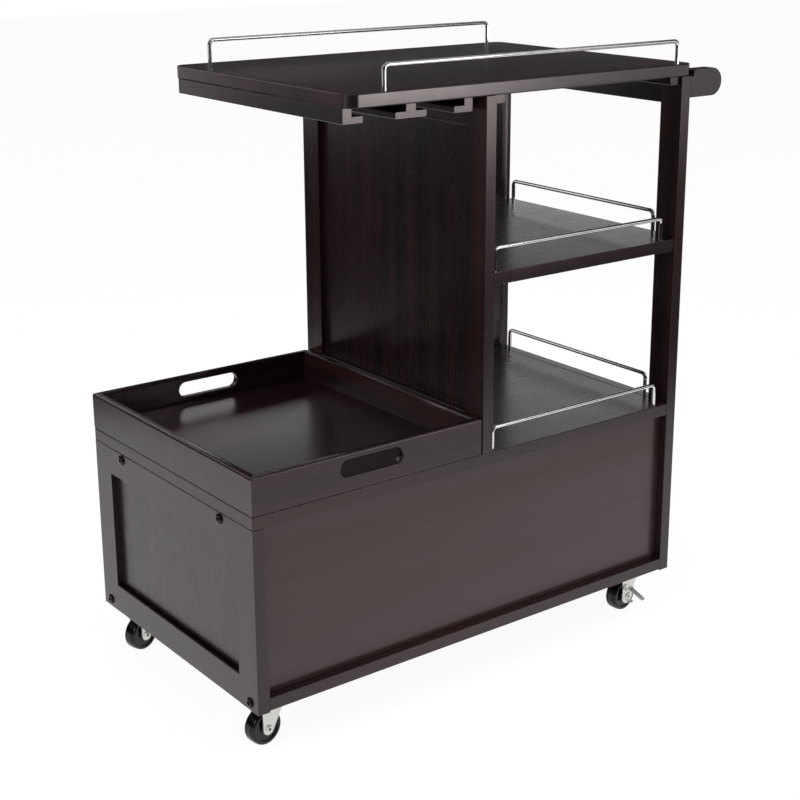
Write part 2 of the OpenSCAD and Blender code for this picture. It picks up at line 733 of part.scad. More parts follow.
// A line that touches circles of radius r and q, whose centres are v apart, does so on the given
// side at this angle on both. A radius of 0 stands for a point.
function touch(v, r, q, side) = atan2(v[1], v[0]) + side * acos((r - q) / norm(v));
function at(c, r, angle) = c + r * [cos(angle), sin(angle)];

// Side of a fork in (X, Z): a wide top that tapers to a round end about the axle
module fork_side() {
    axle = [-trail, axle_z];
    ahead = [fork_front, fork_top];
    behind = [-fork_back, fork_top];
    polygon([behind, ahead, at(axle, fork_end_r, touch(ahead - axle, fork_end_r, 0, -1)), axle,
        at(axle, fork_end_r, touch(behind - axle, fork_end_r, 0, 1))]);
    translate(axle) circle(fork_end_r);
}
// Cross-section of a fork in (Y, Z): a channel that is open below
module fork_channel() {
    low = 2 * axle_z;
    difference() {
        rounded_rect(fork_half * [-1, 1], [low, fork_top], fork_bend_r);
        rounded_rect((fork_half - fork_t) * [-1, 1], [low - through, fork_top - fork_t],
            fork_bend_r - fork_t);
    }
}
module fork() color(zinc) difference() {
    union() {
        intersection() {
            along_x([-fork_back - fork_end_r, fork_front]) fork_channel();
            along_y([-fork_half, fork_half]) fork_side();
        }
        pin(fork_disc_d, [fork_top - fork_t, fork_top]);
    }
    pin(kingpin_d + 2 * pin_fit, widen([fork_top - fork_t, fork_top], through));
    at_axle() pin(axle_d + 2 * pin_fit, widen([-fork_half, fork_half], through));
}
// The axle's local Z axis points to the side of the brake.
module at_axle() translate([-trail, 0, axle_z]) rotate([90, 0, 0]) children();

brake_gap = running_gap;
module axle(braked) color(zinc) at_axle() {
    near = fork_half + (braked ? brake_t + 2 * brake_gap : 0);
    pin(axle_d, [-fork_half, near]);
    translate([0, 0, near]) dome(axle_head_d, axle_head_h);
    rotate([180, 0, 0]) translate([0, 0, fork_half]) dome(axle_head_d, axle_head_h);
}

// Wheel, turned as one profile: a crowned tread with two fine grooves, rounded shoulders,
// dished sides and a hub that runs on the axle
module wheel() color(black_plastic) at_axle() rotate_extrude($fn = 96) {
    half = wheel_w / 2;
    r = wheel_d / 2;
    groove_w = wheel_w / 20;
    dish = [axle_head_d, r * 0.78];
    difference() {
        intersection() {
            rounded_rect([-r, r], [-half, half], wheel_w / 7);
            translate([r - wheel_crown_r, 0]) circle(wheel_crown_r, $fn = 180);
            translate([axle_d / 2 + pin_fit, -half]) square([r, wheel_w]);
        }
        for (side = [-1, 1]) {
            translate([r - groove_w, side * wheel_w / 4 - groove_w / 2])
                square([2 * groove_w, groove_w]);
            rounded_rect(dish, side > 0 ? [half - 2, half + 5] : [-half - 5, 2 - half], 1);
        }
    }
}

// Brake lever: a pressed plate that turns on the axle beside the fork, with a foot tab bent
// out below and a pedal that slopes out to the side
module brake_lever() color(zinc) at_axle() {
    plate = [fork_half + brake_gap, fork_half + brake_gap + brake_t];
    hub = [0, 0];
    arm = [-brake_hub_r * 0.3, brake_hub_r];
    arm_r = brake_hub_r * 0.65;
    low = touch(arm, brake_hub_r, arm_r, -1);
    high = touch(arm, brake_hub_r, arm_r, 1);
    pedal_x = brake_hub_r * 0.25;
    shoulder = brake_t / 2;
    difference() {
        along_z(plate) difference() {
            union() {
                circle(brake_hub_r);
                translate(arm) circle(arm_r);
                polygon([at(hub, brake_hub_r, low), at(arm, arm_r, low), at(arm, arm_r, high),
                    at(hub, brake_hub_r, high)]);
                translate([0, brake_hub_r / 3])
                    square([pedal_x + pedal_w + shoulder, brake_hub_r * 0.6]);
            }
            translate(arm + [-arm_r / 4, arm_r / 4]) circle(arm_r / 3);
        }
        pin(axle_d + 2 * pin_fit, widen(plate, through));
    }
    // Foot tab
    tab_l = brake_hub_r * 0.6;
    translate([brake_hub_r * 0.15, -brake_hub_r * 0.95, plate[0]])
        block([0, tab_l], [0, brake_t], [0, tab_l]);
    // Pedal, with a round outer end
    translate([pedal_x, brake_hub_r * 0.9, plate[0] + brake_t / 2])
        rotate([90 + pedal_slope, 0, 0]) translate([0, 0, -brake_t / 2]) linear_extrude(brake_t) {
            square([pedal_w, pedal_l]);
            translate([pedal_w / 2, pedal_l]) circle(pedal_w / 2);
        }
}

// Caster nodes
module front_left_fork() at_front_left() fork();
module front_left_axle() at_front_left() axle(false);
module front_left_wheel() at_front_left() wheel();
module back_left_fork() at_back_left() fork();
module back_left_axle() at_back_left() axle(false);
module back_left_wheel() at_back_left() wheel();
module front_right_fork() at_front_right() fork();
module front_right_axle() at_front_right() axle(true);
module front_right_wheel() at_front_right() wheel();
module front_right_brake() at_front_right() brake_lever();
module back_right_fork() at_back_right() fork();
module back_right_axle() at_back_right() axle(true);
module back_right_wheel() at_back_right() wheel();
module back_right_brake() at_back_right() brake_lever();

// Fastener nodes
module frame_bolts() color(black_steel) at_bolt_ends() frame_bolt();
module caster_screws() color(zinc) at_casters() at_screws() {
    pin(screw_d, [-plate_t, screw_l]);
    translate([0, 0, -plate_t]) rotate([180, 0, 0]) dome(screw_head_d, screw_head_h);
}
module dowels() color(beech) {
    flat_dowels(concat(shelf_dowels, bracket_dowels), dowel_d, dowel_l);
    upright_dowels(concat(foot_dowels, top_dowels), dowel_d, dowel_l);
}

left_front_stile();
left_back_stile();
left_top_rail();
left_bottom_rail();
left_panel();
right_front_stile();
right_back_stile();
right_top_rail();
right_middle_rail();
right_bottom_rail();
right_panel();
partition_front_stile();
partition_back_stile();
partition_top_rail();
partition_bottom_rail();
partition_panel();
base_board();
front_panel();
back_panel();
deck_rails();
deck_board();
middle_shelf();
tabletop();
top_cleats();
left_glass_rail();
middle_glass_rail();
right_glass_rail();
table_galleries();
middle_side_galleries();
middle_end_gallery();
lower_side_galleries();
lower_end_gallery();
front_bracket();
back_bracket();
handle_grip();
tray_floor();
tray_front_wall();
tray_back_wall();
tray_left_wall();
tray_right_wall();
caster_plates();
front_left_fork();
front_left_axle();
front_left_wheel();
back_left_fork();
back_left_axle();
back_left_wheel();
front_right_fork();
front_right_axle();
front_right_wheel();
front_right_brake();
back_right_fork();
back_right_axle();
back_right_wheel();
back_right_brake();
frame_bolts();
caster_screws();
dowels();
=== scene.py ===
"""Looks of the serving cart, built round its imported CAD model. Lengths are metres, or mm where it says so."""

import json
import math

import bmesh
import bpy
from mathutils import Matrix, Vector
from mathutils.bvhtree import BVHTree

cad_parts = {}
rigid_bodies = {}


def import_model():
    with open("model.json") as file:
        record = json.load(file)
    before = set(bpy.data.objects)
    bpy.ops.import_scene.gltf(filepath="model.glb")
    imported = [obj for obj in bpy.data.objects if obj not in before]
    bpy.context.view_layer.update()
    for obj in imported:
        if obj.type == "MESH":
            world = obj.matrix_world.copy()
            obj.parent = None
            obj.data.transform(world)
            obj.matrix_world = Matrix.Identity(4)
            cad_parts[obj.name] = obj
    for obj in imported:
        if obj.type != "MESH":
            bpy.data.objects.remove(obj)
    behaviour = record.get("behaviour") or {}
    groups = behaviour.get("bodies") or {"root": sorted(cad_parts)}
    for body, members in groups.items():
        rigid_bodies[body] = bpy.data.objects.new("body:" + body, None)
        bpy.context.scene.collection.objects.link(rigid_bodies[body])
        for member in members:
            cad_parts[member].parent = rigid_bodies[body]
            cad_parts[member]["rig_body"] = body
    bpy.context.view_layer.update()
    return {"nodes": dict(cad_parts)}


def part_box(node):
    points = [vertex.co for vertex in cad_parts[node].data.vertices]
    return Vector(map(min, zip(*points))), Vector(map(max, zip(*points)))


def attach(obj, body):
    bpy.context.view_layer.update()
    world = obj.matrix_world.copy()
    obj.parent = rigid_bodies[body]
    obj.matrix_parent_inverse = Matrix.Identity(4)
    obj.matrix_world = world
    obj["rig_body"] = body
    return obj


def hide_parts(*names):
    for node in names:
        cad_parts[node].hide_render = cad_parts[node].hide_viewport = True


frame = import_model()
nodes = frame["nodes"]
MM = 0.001


# Materials
def linear(hex_colour):
    """An sRGB hex colour as the linear colour that a socket takes."""
    parts = [int(hex_colour[i : i + 2], 16) / 255 for i in (1, 3, 5)]
    return [c / 12.92 if c <= 0.04045 else ((c + 0.055) / 1.055) ** 2.4 for c in parts] + [1.0]


def add(tree, kind, inputs=(), **settings):
    """Adds one node with its settings. Each input takes a value, or a socket that it is linked to."""
    node = tree.nodes.new(kind)
    for key, value in settings.items():
        setattr(node, key, value)
    for key, value in dict(inputs).items():
        if isinstance(value, bpy.types.NodeSocket):
            tree.links.new(value, node.inputs[key])
        else:
            node.inputs[key].default_value = value
    return node


def finish_named(name):
    """A new material with its tree and its one shader."""
    made = bpy.data.materials.new(name)
    made.use_nodes = True
    tree = made.node_tree
    tree.nodes.clear()
    shader = add(tree, "ShaderNodeBsdfPrincipled")
    add(tree, "ShaderNodeOutputMaterial", {"Surface": shader.outputs[0]})
    return made, tree, shader


# Pores in mm across and along the grain: real ones are a third of that width, too fine for the render to hold
PORE_ACROSS, PORE_ALONG = 1.6, 24
# Bands that the growth rings leave, in mm across the grain: close in solid wood and sliced veneer, wide in
# rotary-cut veneer. Along the grain they are 20 times as long.
SOLID_BAND, VENEER_BAND, BAND_STRETCH = 22, 60, 20
# Roughness of the satin lacquer between its fullest and its thinnest film, and what an open pore adds
SATIN_FULL, SATIN_THIN, PORE_ROUGH = 0.235, 0.265, 0.08
# Depth in mm of the deepest pore under the film
PORE_DEEP = 0.05


def stained_wood(name, grain, tone, warm, pore, arris, figure, seat, band_mm=SOLID_BAND):
    """Veneered or solid wood, stained espresso and sprayed with satin lacquer. Short dark pores run with the
    grain, broad bands drift between a cool and a warm brown, and the arrises take the stain unevenly. grain
    is the axis that the fibres follow, and seat moves the figure so that no two boards match."""
    made, tree, shader = finish_named(name)
    place = add(tree, "ShaderNodeTexCoord").outputs["Object"]
    along = "XYZ".index(grain)

    def per_metre(across_mm, along_mm):
        """How often a figure of that size repeats in a metre, on each axis."""
        often = [1 / (across_mm * MM)] * 3
        often[along] = 1 / (along_mm * MM)
        return often

    often = per_metre(PORE_ACROSS, PORE_ALONG)
    fine = add(tree, "ShaderNodeMapping", {0: place, "Location": seat, "Scale": often})
    pores = add(tree, "ShaderNodeTexNoise", {0: fine.outputs[0], "Scale": 1.0, "Detail": 2.0})
    pores = add(tree, "ShaderNodeMapRange", {0: pores.outputs[0], 1: 0.42, 2: 0.68, 3: 0.0, 4: figure})
    often = per_metre(band_mm, BAND_STRETCH * band_mm)
    broad = add(tree, "ShaderNodeMapping", {0: place, "Location": seat, "Scale": often})
    bands = add(tree, "ShaderNodeTexNoise", {0: broad.outputs[0], "Scale": 1.0, "Detail": 3.0})
    bands = add(tree, "ShaderNodeMapRange", {0: bands.outputs[0], 1: 0.35, 2: 0.68})
    stain = add(
        tree, "ShaderNodeMix", {0: bands.outputs[0], 6: linear(tone), 7: linear(warm)}, data_type="RGBA"
    )
    stain = add(
        tree, "ShaderNodeMix", {0: pores.outputs[0], 6: stain.outputs[2], 7: linear(pore)}, data_type="RGBA"
    )
    # An arris is where the surface leaves all three axes of the board
    normal = add(tree, "ShaderNodeTexCoord").outputs["Normal"]
    size = add(tree, "ShaderNodeVectorMath", {0: normal}, operation="ABSOLUTE")
    size = add(tree, "ShaderNodeSeparateXYZ", {0: size.outputs[0]})
    most = add(tree, "ShaderNodeMath", {0: size.outputs[0], 1: size.outputs[1]}, operation="MAXIMUM")
    most = add(tree, "ShaderNodeMath", {0: most.outputs[0], 1: size.outputs[2]}, operation="MAXIMUM")
    patchy = add(tree, "ShaderNodeTexNoise", {0: place, "Scale": 60.0, "Detail": 2.0})
    patchy = add(tree, "ShaderNodeMapRange", {0: patchy.outputs[0], 1: 0.3, 2: 0.7, 3: 0.1, 4: 0.7})
    edge = add(tree, "ShaderNodeMapRange", {0: most.outputs[0], 1: 0.80, 2: 0.97, 3: 1.0, 4: 0.0})
    edge = add(tree, "ShaderNodeMath", {0: edge.outputs[0], 1: patchy.outputs[0]}, operation="MULTIPLY")
    stain = add(
        tree, "ShaderNodeMix", {0: edge.outputs[0], 6: stain.outputs[2], 7: linear(arris)}, data_type="RGBA"
    )
    tree.links.new(stain.outputs[2], shader.inputs["Base Color"])
    # The lacquer sinks a little into the pores, and its film drifts over 40 mm
    film = add(tree, "ShaderNodeTexNoise", {0: place, "Scale": 1 / (40 * MM), "Detail": 3.0})
    rough = add(
        tree, "ShaderNodeMapRange", {0: film.outputs[0], 1: 0.3, 2: 0.7, 3: SATIN_FULL, 4: SATIN_THIN}
    )
    rough = add(
        tree,
        "ShaderNodeMath",
        {0: pores.outputs[0], 1: PORE_ROUGH, 2: rough.outputs[0]},
        operation="MULTIPLY_ADD",
    )
    tree.links.new(rough.outputs[0], shader.inputs["Roughness"])
    height = add(tree, "ShaderNodeMath", {0: pores.outputs[0], 1: -1.0}, operation="MULTIPLY")
    deep = PORE_DEEP * figure * MM
    bump = add(tree, "ShaderNodeBump", {"Height": height.outputs[0], "Strength": 0.35, "Distance": deep})
    tree.links.new(bump.outputs[0], shader.inputs["Normal"])
    # The toner in the lacquer warms what it mirrors
    shader.inputs["Specular IOR Level"].default_value = 0.6
    shader.inputs["Specular Tint"].default_value = (1.0, 0.87, 0.87, 1.0)
    return made


def metal(name, colour, rough, mottle, grit_mm, bump_mm):
    """A plated metal. mottle is how far its roughness drifts, over spots of grit_mm."""
    made, tree, shader = finish_named(name)
    place = add(tree, "ShaderNodeTexCoord").outputs["Object"]
    grit = add(tree, "ShaderNodeTexNoise", {0: place, "Scale": 1 / (grit_mm * MM), "Detail": 4.0})
    shade = add(tree, "ShaderNodeMapRange", {0: grit.outputs[0], 1: 0.3, 2: 0.7, 3: 0.86, 4: 1.06})
    base = linear(colour)[:3]
    tint = add(tree, "ShaderNodeVectorMath", {0: base, 3: shade.outputs[0]}, operation="SCALE")
    tree.links.new(tint.outputs[0], shader.inputs["Base Color"])
    least, most = rough - mottle, rough + mottle
    spread = add(tree, "ShaderNodeMapRange", {0: grit.outputs[0], 1: 0.3, 2: 0.7, 3: least, 4: most})
    tree.links.new(spread.outputs[0], shader.inputs["Roughness"])
    deep = bump_mm * MM
    bump = add(tree, "ShaderNodeBump", {"Height": grit.outputs[0], "Strength": 0.5, "Distance": deep})
    tree.links.new(bump.outputs[0], shader.inputs["Normal"])
    shader.inputs["Metallic"].default_value = 1.0
    return made


# Moulded skin: how far its roughness drifts, and how deep its texture is in mm
SKIN_DRIFT, SKIN_DEEP = 0.06, 0.05


def moulded(name, colour, rough, grit_mm, gloss=0.5):
    """Moulded plastic, or card, with a fine texture. gloss is how much its skin mirrors."""
    made, tree, shader = finish_named(name)
    place = add(tree, "ShaderNodeTexCoord").outputs["Object"]
    grit = add(tree, "ShaderNodeTexNoise", {0: place, "Scale": 1 / (grit_mm * MM), "Detail": 3.0})
    shade = add(tree, "ShaderNodeMapRange", {0: grit.outputs[0], 1: 0.3, 2: 0.7, 3: 0.7, 4: 1.3})
    base = linear(colour)[:3]
    tint = add(tree, "ShaderNodeVectorMath", {0: base, 3: shade.outputs[0]}, operation="SCALE")
    tree.links.new(tint.outputs[0], shader.inputs["Base Color"])
    least, most = rough - SKIN_DRIFT, rough + SKIN_DRIFT
    spread = add(tree, "ShaderNodeMapRange", {0: grit.outputs[0], 1: 0.3, 2: 0.7, 3: least, 4: most})
    tree.links.new(spread.outputs[0], shader.inputs["Roughness"])
    deep = SKIN_DEEP * MM
    bump = add(tree, "ShaderNodeBump", {"Height": grit.outputs[0], "Strength": 0.3, "Distance": deep})
    tree.links.new(bump.outputs[0], shader.inputs["Normal"])
    shader.inputs["Specular IOR Level"].default_value = gloss
    return made


# The espresso stain: its cool and warm browns, what gathers in the pores, and the arrises
COOL, WARM, PORE, ARRIS = "#120e0e", "#2b1617", "#080606", "#1e1616"


def board_wood(name, grain, tone, figure, number):
    """The wood of one board. Its number gives the board its own stretch of figure."""
    seat = [number * 1.37 % 5, number * 2.11 % 7, number * 0.73 % 3]
    band_mm = VENEER_BAND if figure == SMOOTH_FIGURE else SOLID_BAND
    return stained_wood(name, grain, tone, WARM, PORE, ARRIS, figure, seat, band_mm)


# How much the pores show: oak veneer on the panels is open and streaky, the solid frames and the shelves are
# closer, and the filled and sanded faces of the largest boards show none
FRAME_FIGURE, PANEL_FIGURE, SHEET_FIGURE, SMOOTH_FIGURE = 0.3, 1.0, 0.4, 0.0
# For each kind of board: the axis of its grain, its ground colour, its pores and the nodes that it makes up.
# The two long panels get a lighter ground colour. This is painted light, standing in for the brighter light
# that falls low on the front and back.
WOODS = {
    "oak_veneer_panel": ("Z", COOL, PANEL_FIGURE, ["left_panel", "partition_panel", "right_panel"]),
    "stained_stile": (
        "Z",
        COOL,
        FRAME_FIGURE,
        [
            "left_front_stile",
            "left_back_stile",
            "right_front_stile",
            "right_back_stile",
            "partition_front_stile",
            "partition_back_stile",
        ],
    ),
    "stained_rail": (
        "Y",
        COOL,
        FRAME_FIGURE,
        [
            "left_top_rail",
            "left_bottom_rail",
            "right_top_rail",
            "right_middle_rail",
            "right_bottom_rail",
            "partition_top_rail",
            "partition_bottom_rail",
            "top_cleats",
            "left_glass_rail",
            "middle_glass_rail",
            "right_glass_rail",
            "handle_grip",
            "tray_left_wall",
            "tray_right_wall",
        ],
    ),
    "stained_board": (
        "X",
        COOL,
        SHEET_FIGURE,
        ["base_board", "deck_board", "deck_rails", "middle_shelf"],
    ),
    # Painted light: the front and back panels are coloured lighter than the other boards, for the light that
    # they catch
    "front_painted_light": ("X", "#332828", SMOOTH_FIGURE, ["front_panel", "back_panel"]),
    "stained_top": ("X", "#121010", SMOOTH_FIGURE, ["tabletop"]),
    "stained_tray_floor": ("X", COOL, SMOOTH_FIGURE, ["tray_floor"]),
    "stained_small_part": (
        "X",
        COOL,
        FRAME_FIGURE,
        ["front_bracket", "back_bracket", "tray_front_wall", "tray_back_wall"],
    ),
}
number = 0
for wood, (grain, tone, figure, names) in WOODS.items():
    for node in names:
        number += 1
        made = board_wood(f"{wood}_{node}", grain, tone, figure, number)
        nodes[node].data.materials.clear()
        nodes[node].data.materials.append(made)

# Chrome plate over buffed steel: an almost clear mirror, so the rods show a white core between dark edges
chrome = metal("polished_chrome", "#e6e6e6", 0.09, 0.02, 6.0, 0.0005)
# Zinc plate on pressed steel: a pale grey sheen, broken up by the fine crystals of the bath
zinc = metal("zinc_plated_steel", "#dededa", 0.5, 0.06, 2.0, 0.008)
# Dark bronze plate on the bolt heads: nearly black, with small sharp glints round the dome
bronzed = metal("dark_bronze_plated_steel", "#352a2b", 0.14, 0.03, 1.0, 0.002)
# Moulded hard plastic, lightly polished: a deep black that shows the web and the rim by their highlights
black_wheel = moulded("hard_black_plastic", "#090909", 0.18, 0.8, gloss=0.35)
# Turned beech: pale and fine-grained, and hidden in the joints
beech = stained_wood("beech_dowel", "X", "#b08a5c", "#a27a4e", "#7c5a38", "#b08a5c", 0.4, (0, 0, 0))

# What a node is finished in, by a word in its name
FINISHES = {
    "galler": chrome,
    "caster": zinc,
    "fork": zinc,
    "axle": zinc,
    "brake": zinc,
    "wheel": black_wheel,
    "frame_bolts": bronzed,
    "dowels": beech,
}
for node, part in nodes.items():
    for word, finish in FINISHES.items():
        if word in node:
            part.data.materials.clear()
            part.data.materials.append(finish)


# Making pieces
def place_piece(piece, like):
    """Lets a finished piece stand for the CAD node it was made from, on that node's body."""
    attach(piece, nodes[like]["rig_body"])
    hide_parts(like)


def from_mesh(name, mesh):
    """An object for a mesh. Its large faces rule the normals, so flats look flat and edges look round."""
    piece = bpy.data.objects.new(name, mesh)
    bpy.context.scene.collection.objects.link(piece)
    weighted = piece.modifiers.new("weighted", "WEIGHTED_NORMAL")
    weighted.keep_sharp = True
    scene = bpy.context.evaluated_depsgraph_get()
    piece.data = bpy.data.meshes.new_from_object(piece.evaluated_get(scene))
    piece.modifiers.clear()
    bpy.data.meshes.remove(mesh)
    piece.data.name = name
    return piece


def from_bmesh(name, shape, finish, soft_angle=50):
    """A mesh object with smooth curves and crisp edges."""
    bmesh.ops.recalc_face_normals(shape, faces=shape.faces)
    mesh = bpy.data.meshes.new(name)
    shape.to_mesh(mesh)
    shape.free()
    mesh.materials.append(finish)
    mesh.shade_smooth()
    mesh.set_sharp_from_angle(angle=math.radians(soft_angle))
    return from_mesh(name, mesh)


def merged_copy(node):
    """A CAD node's shape with its triangles joined and its flat faces whole."""
    shape = bmesh.new()
    shape.from_mesh(nodes[node].data)
    bmesh.ops.remove_doubles(shape, verts=shape.verts, dist=1e-6)
    bmesh.ops.dissolve_limit(shape, angle_limit=math.radians(0.3), verts=shape.verts, edges=shape.edges)
    return shape


now = bpy.context.evaluated_depsgraph_get()
surfaces = {name: BVHTree.FromObject(part, now) for name, part in nodes.items()}
PINS = ["dowels", "frame_bolts", "caster_screws"] + [name for name in nodes if "galler" in name]
# Faces nearer than this touch
TOUCHING = 0.15 * MM


def in_tight_joint(edge, node):
    """Whether an edge lies on another member of its own frame, or is the rim of a hole with a pin in it. Such
    an edge stays sharp, so the joint shows no groove."""
    start, end = (v.co for v in edge.verts)
    for name, surface in surfaces.items():
        if name != node and (name in PINS or name.split("_")[0] == node.split("_")[0]):
            for share in (0.1, 0.3, 0.5, 0.7, 0.9):
                if surface.find_nearest(start.lerp(end, share), TOUCHING)[0] is not None:
                    return True
    return False


def eased(name, node, width_mm, segments=2, added=None):
    """The CAD node with its sharp outer edges taken off, as sanding or tumbling does."""
    shape = merged_copy(node)
    sharp = [e for e in shape.edges if e.is_convex and e.calc_face_angle(0) > math.radians(50)]
    bmesh.ops.bevel(
        shape,
        geom=[e for e in sharp if not in_tight_joint(e, node)],
        offset=width_mm * MM,
        offset_type="OFFSET",
        segments=segments,
        profile=0.5,
        affect="EDGES",
        clamp_overlap=False,
    )
    if added:
        shape.from_mesh(added)
    piece = from_bmesh(name, shape, nodes[node].data.materials[0])
    place_piece(piece, node)


def hexagon(angle):
    """How far a hexagon's side is from the middle at an angle, for a flat at distance 1."""
    return 1 / math.cos((angle + math.pi / 6) % (math.pi / 3) - math.pi / 6)


def cross(angle):
    """Outline of a cross recess, for arms that reach out to 1."""
    off_arm = abs((angle + math.pi / 4) % (math.pi / 2) - math.pi / 4)
    return 1.0 if off_arm < 0.25 else 0.42


def arc(middle, reach, start, end, steps=5):
    """Points of an elliptical arc in a profile, between two angles in degrees from the radial direction."""
    points = []
    for i in range(steps + 1):
        angle = math.radians(start + (end - start) * i / steps)
        points.append((middle[0] + reach[0] * math.cos(angle), middle[1] + reach[1] * math.sin(angle)))
    return points


def turned(profile, steps=96):
    """A closed profile of (radius, height) points in mm, turned about Z. A third value is a function of the
    angle that scales the radius there, for recesses that aren't round."""
    shape = bmesh.new()
    rings = []
    for i in range(steps):
        angle = 2 * math.pi * i / steps
        out = Vector((math.cos(angle), math.sin(angle), 0))
        ring = []
        for r, z, *outline in profile:
            reach = r * (outline[0](angle) if outline else 1)
            ring.append(shape.verts.new((out * reach + Vector((0, 0, z))) * MM))
        rings.append(ring)
    for i in range(steps):
        near, far = rings[i], rings[(i + 1) % steps]
        for j in range(len(profile)):
            k = (j + 1) % len(profile)
            if max(profile[j][0], profile[k][0]) > 1e-6:
                shape.faces.new((near[j], far[j], far[k], near[k]))
    bmesh.ops.remove_doubles(shape, verts=shape.verts, dist=1e-7)
    bmesh.ops.dissolve_degenerate(shape, edges=shape.edges, dist=1e-7)
    return shape


# Geometry nodes
def new_tree(name, inputs):
    """A geometry tree with named inputs. Gives the tree, its input node and a function that ends it."""
    tree = bpy.data.node_groups.new(name, "GeometryNodeTree")
    tree.interface.new_socket("Geometry", in_out="INPUT", socket_type="NodeSocketGeometry")
    for label, kind in inputs.items():
        tree.interface.new_socket(label, in_out="INPUT", socket_type="NodeSocket" + kind)
    tree.interface.new_socket("Geometry", in_out="OUTPUT", socket_type="NodeSocketGeometry")
    start = add(tree, "NodeGroupInput")

    def end(geometry):
        real = add(tree, "GeometryNodeRealizeInstances", {0: geometry})
        finish = start.outputs["Material"]
        painted = add(tree, "GeometryNodeSetMaterial", {0: real.outputs[0], "Material": finish})
        add(tree, "NodeGroupOutput", {0: painted.outputs[0]})

    return tree, start.outputs, end


def bent_rod_tree():
    """Rods bent from round bar, one on each point of the mesh: a leg, a bend, a span, a bend and a leg."""
    lengths = ("Span", "Height", "Seat", "Bend", "Diameter")
    kinds = {label: "Float" for label in lengths} | {"Turn": "Rotation", "Material": "Material"}
    tree, given, end = new_tree("bent_rod", kinds)
    corners = add(tree, "GeometryNodeMeshLine", {"Count": 4})
    index = add(tree, "GeometryNodeInputIndex").outputs[0]
    # The four corners of the path have index 0 to 3: the first two at X 0, the middle two at the top
    far = add(tree, "ShaderNodeMath", {0: index, 1: 1.5}, operation="GREATER_THAN")
    x = add(tree, "ShaderNodeMath", {0: far.outputs[0], 1: given["Span"]}, operation="MULTIPLY")
    middle = add(tree, "ShaderNodeMath", {0: index, 1: 1.5, 2: 0.6}, operation="COMPARE")
    rise = add(tree, "ShaderNodeMath", {0: given["Height"], 1: given["Seat"]}, operation="ADD")
    z = add(tree, "ShaderNodeMath", {0: middle.outputs[0], 1: rise.outputs[0]}, operation="MULTIPLY")
    z = add(tree, "ShaderNodeMath", {0: z.outputs[0], 1: given["Seat"]}, operation="SUBTRACT")
    place = add(tree, "ShaderNodeCombineXYZ", {0: x.outputs[0], 2: z.outputs[0]})
    path = add(tree, "GeometryNodeSetPosition", {0: corners.outputs[0], "Position": place.outputs[0]})
    path = add(tree, "GeometryNodeMeshToCurve", {0: path.outputs[0]})
    path = add(
        tree,
        "GeometryNodeFilletCurve",
        {"Curve": path.outputs[0], "Count": 12, "Radius": given["Bend"]},
        mode="POLY",
    )
    radius = add(tree, "ShaderNodeMath", {0: given["Diameter"], 1: 2.0}, operation="DIVIDE")
    ring = add(tree, "GeometryNodeCurvePrimitiveCircle", {"Resolution": 32, "Radius": radius.outputs[0]})
    bar = add(
        tree, "GeometryNodeCurveToMesh", {0: path.outputs[0], 1: ring.outputs[0], "Fill Caps": True}
    )
    rods = add(
        tree,
        "GeometryNodeInstanceOnPoints",
        {"Points": given["Geometry"], "Instance": bar.outputs[0], "Rotation": given["Turn"]},
    )
    end(rods.outputs[0])
    return tree


def repeat_tree():
    """One shape on every point of the mesh, turned as the point's own "turn" attribute says."""
    tree, given, end = new_tree("repeat_on_points", {"Shape": "Object", "Material": "Material"})
    shape = add(tree, "GeometryNodeObjectInfo", {"Object": given["Shape"]})
    turn = add(tree, "GeometryNodeInputNamedAttribute", {"Name": "turn"}, data_type="FLOAT_VECTOR")
    turn = add(tree, "FunctionNodeEulerToRotation", {0: turn.outputs[0]})
    many = add(
        tree,
        "GeometryNodeInstanceOnPoints",
        {"Points": given["Geometry"], "Instance": shape.outputs["Geometry"], "Rotation": turn.outputs[0]},
    )
    end(many.outputs[0])
    return tree


def grown(name, points, tree, values, turns=None, soft_angle=25):
    """Runs a geometry tree on a mesh of points, and keeps its result as a plain mesh."""
    mesh = bpy.data.meshes.new(name)
    mesh.from_pydata([tuple(p) for p in points], [], [])
    if turns:
        attribute = mesh.attributes.new("turn", "FLOAT_VECTOR", "POINT")
        attribute.data.foreach_set("vector", [value for turn in turns for value in turn])
    carrier = bpy.data.objects.new(name + "_points", mesh)
    bpy.context.scene.collection.objects.link(carrier)
    modifier = carrier.modifiers.new("nodes", "NODES")
    modifier.node_group = tree
    for item in tree.interface.items_tree:
        if item.name in values:
            modifier[item.identifier] = values[item.name]
    scene = bpy.context.evaluated_depsgraph_get()
    result = bpy.data.meshes.new_from_object(carrier.evaluated_get(scene))
    bpy.data.objects.remove(carrier)
    bpy.data.meshes.remove(mesh)
    if "turn" in result.attributes:
        result.attributes.remove(result.attributes["turn"])
    result.name = name
    result.shade_smooth()
    result.set_sharp_from_angle(angle=math.radians(soft_angle))
    return from_mesh(name, result)


# Gallery rods
# Diameter, rise over the board, depth of the leg in its hole, and radius of the bend
ROD_D, ROD_RISE, ROD_SEAT, ROD_BEND = 6 * MM, 32 * MM, 8 * MM, 7 * MM
bent_rod = bent_rod_tree()


def bent_rods(node, along_x):
    """The rods of one CAD node, each on its own board. along_x says which way they run."""
    low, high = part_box(node)
    foot = low.z + ROD_SEAT
    if along_x:
        starts = [(low.x + ROD_D / 2, y, foot) for y in (low.y + ROD_D / 2, high.y - ROD_D / 2)]
        span, turn = high.x - low.x - ROD_D, (0, 0, 0)
    else:
        starts = [(low.x + ROD_D / 2, low.y + ROD_D / 2, foot)]
        span, turn = high.y - low.y - ROD_D, (0, 0, math.pi / 2)
    sizes = {"Span": span, "Height": ROD_RISE, "Seat": ROD_SEAT, "Bend": ROD_BEND, "Diameter": ROD_D}
    piece = grown("chrome_" + node, starts, bent_rod, sizes | {"Turn": turn, "Material": chrome})
    place_piece(piece, node)


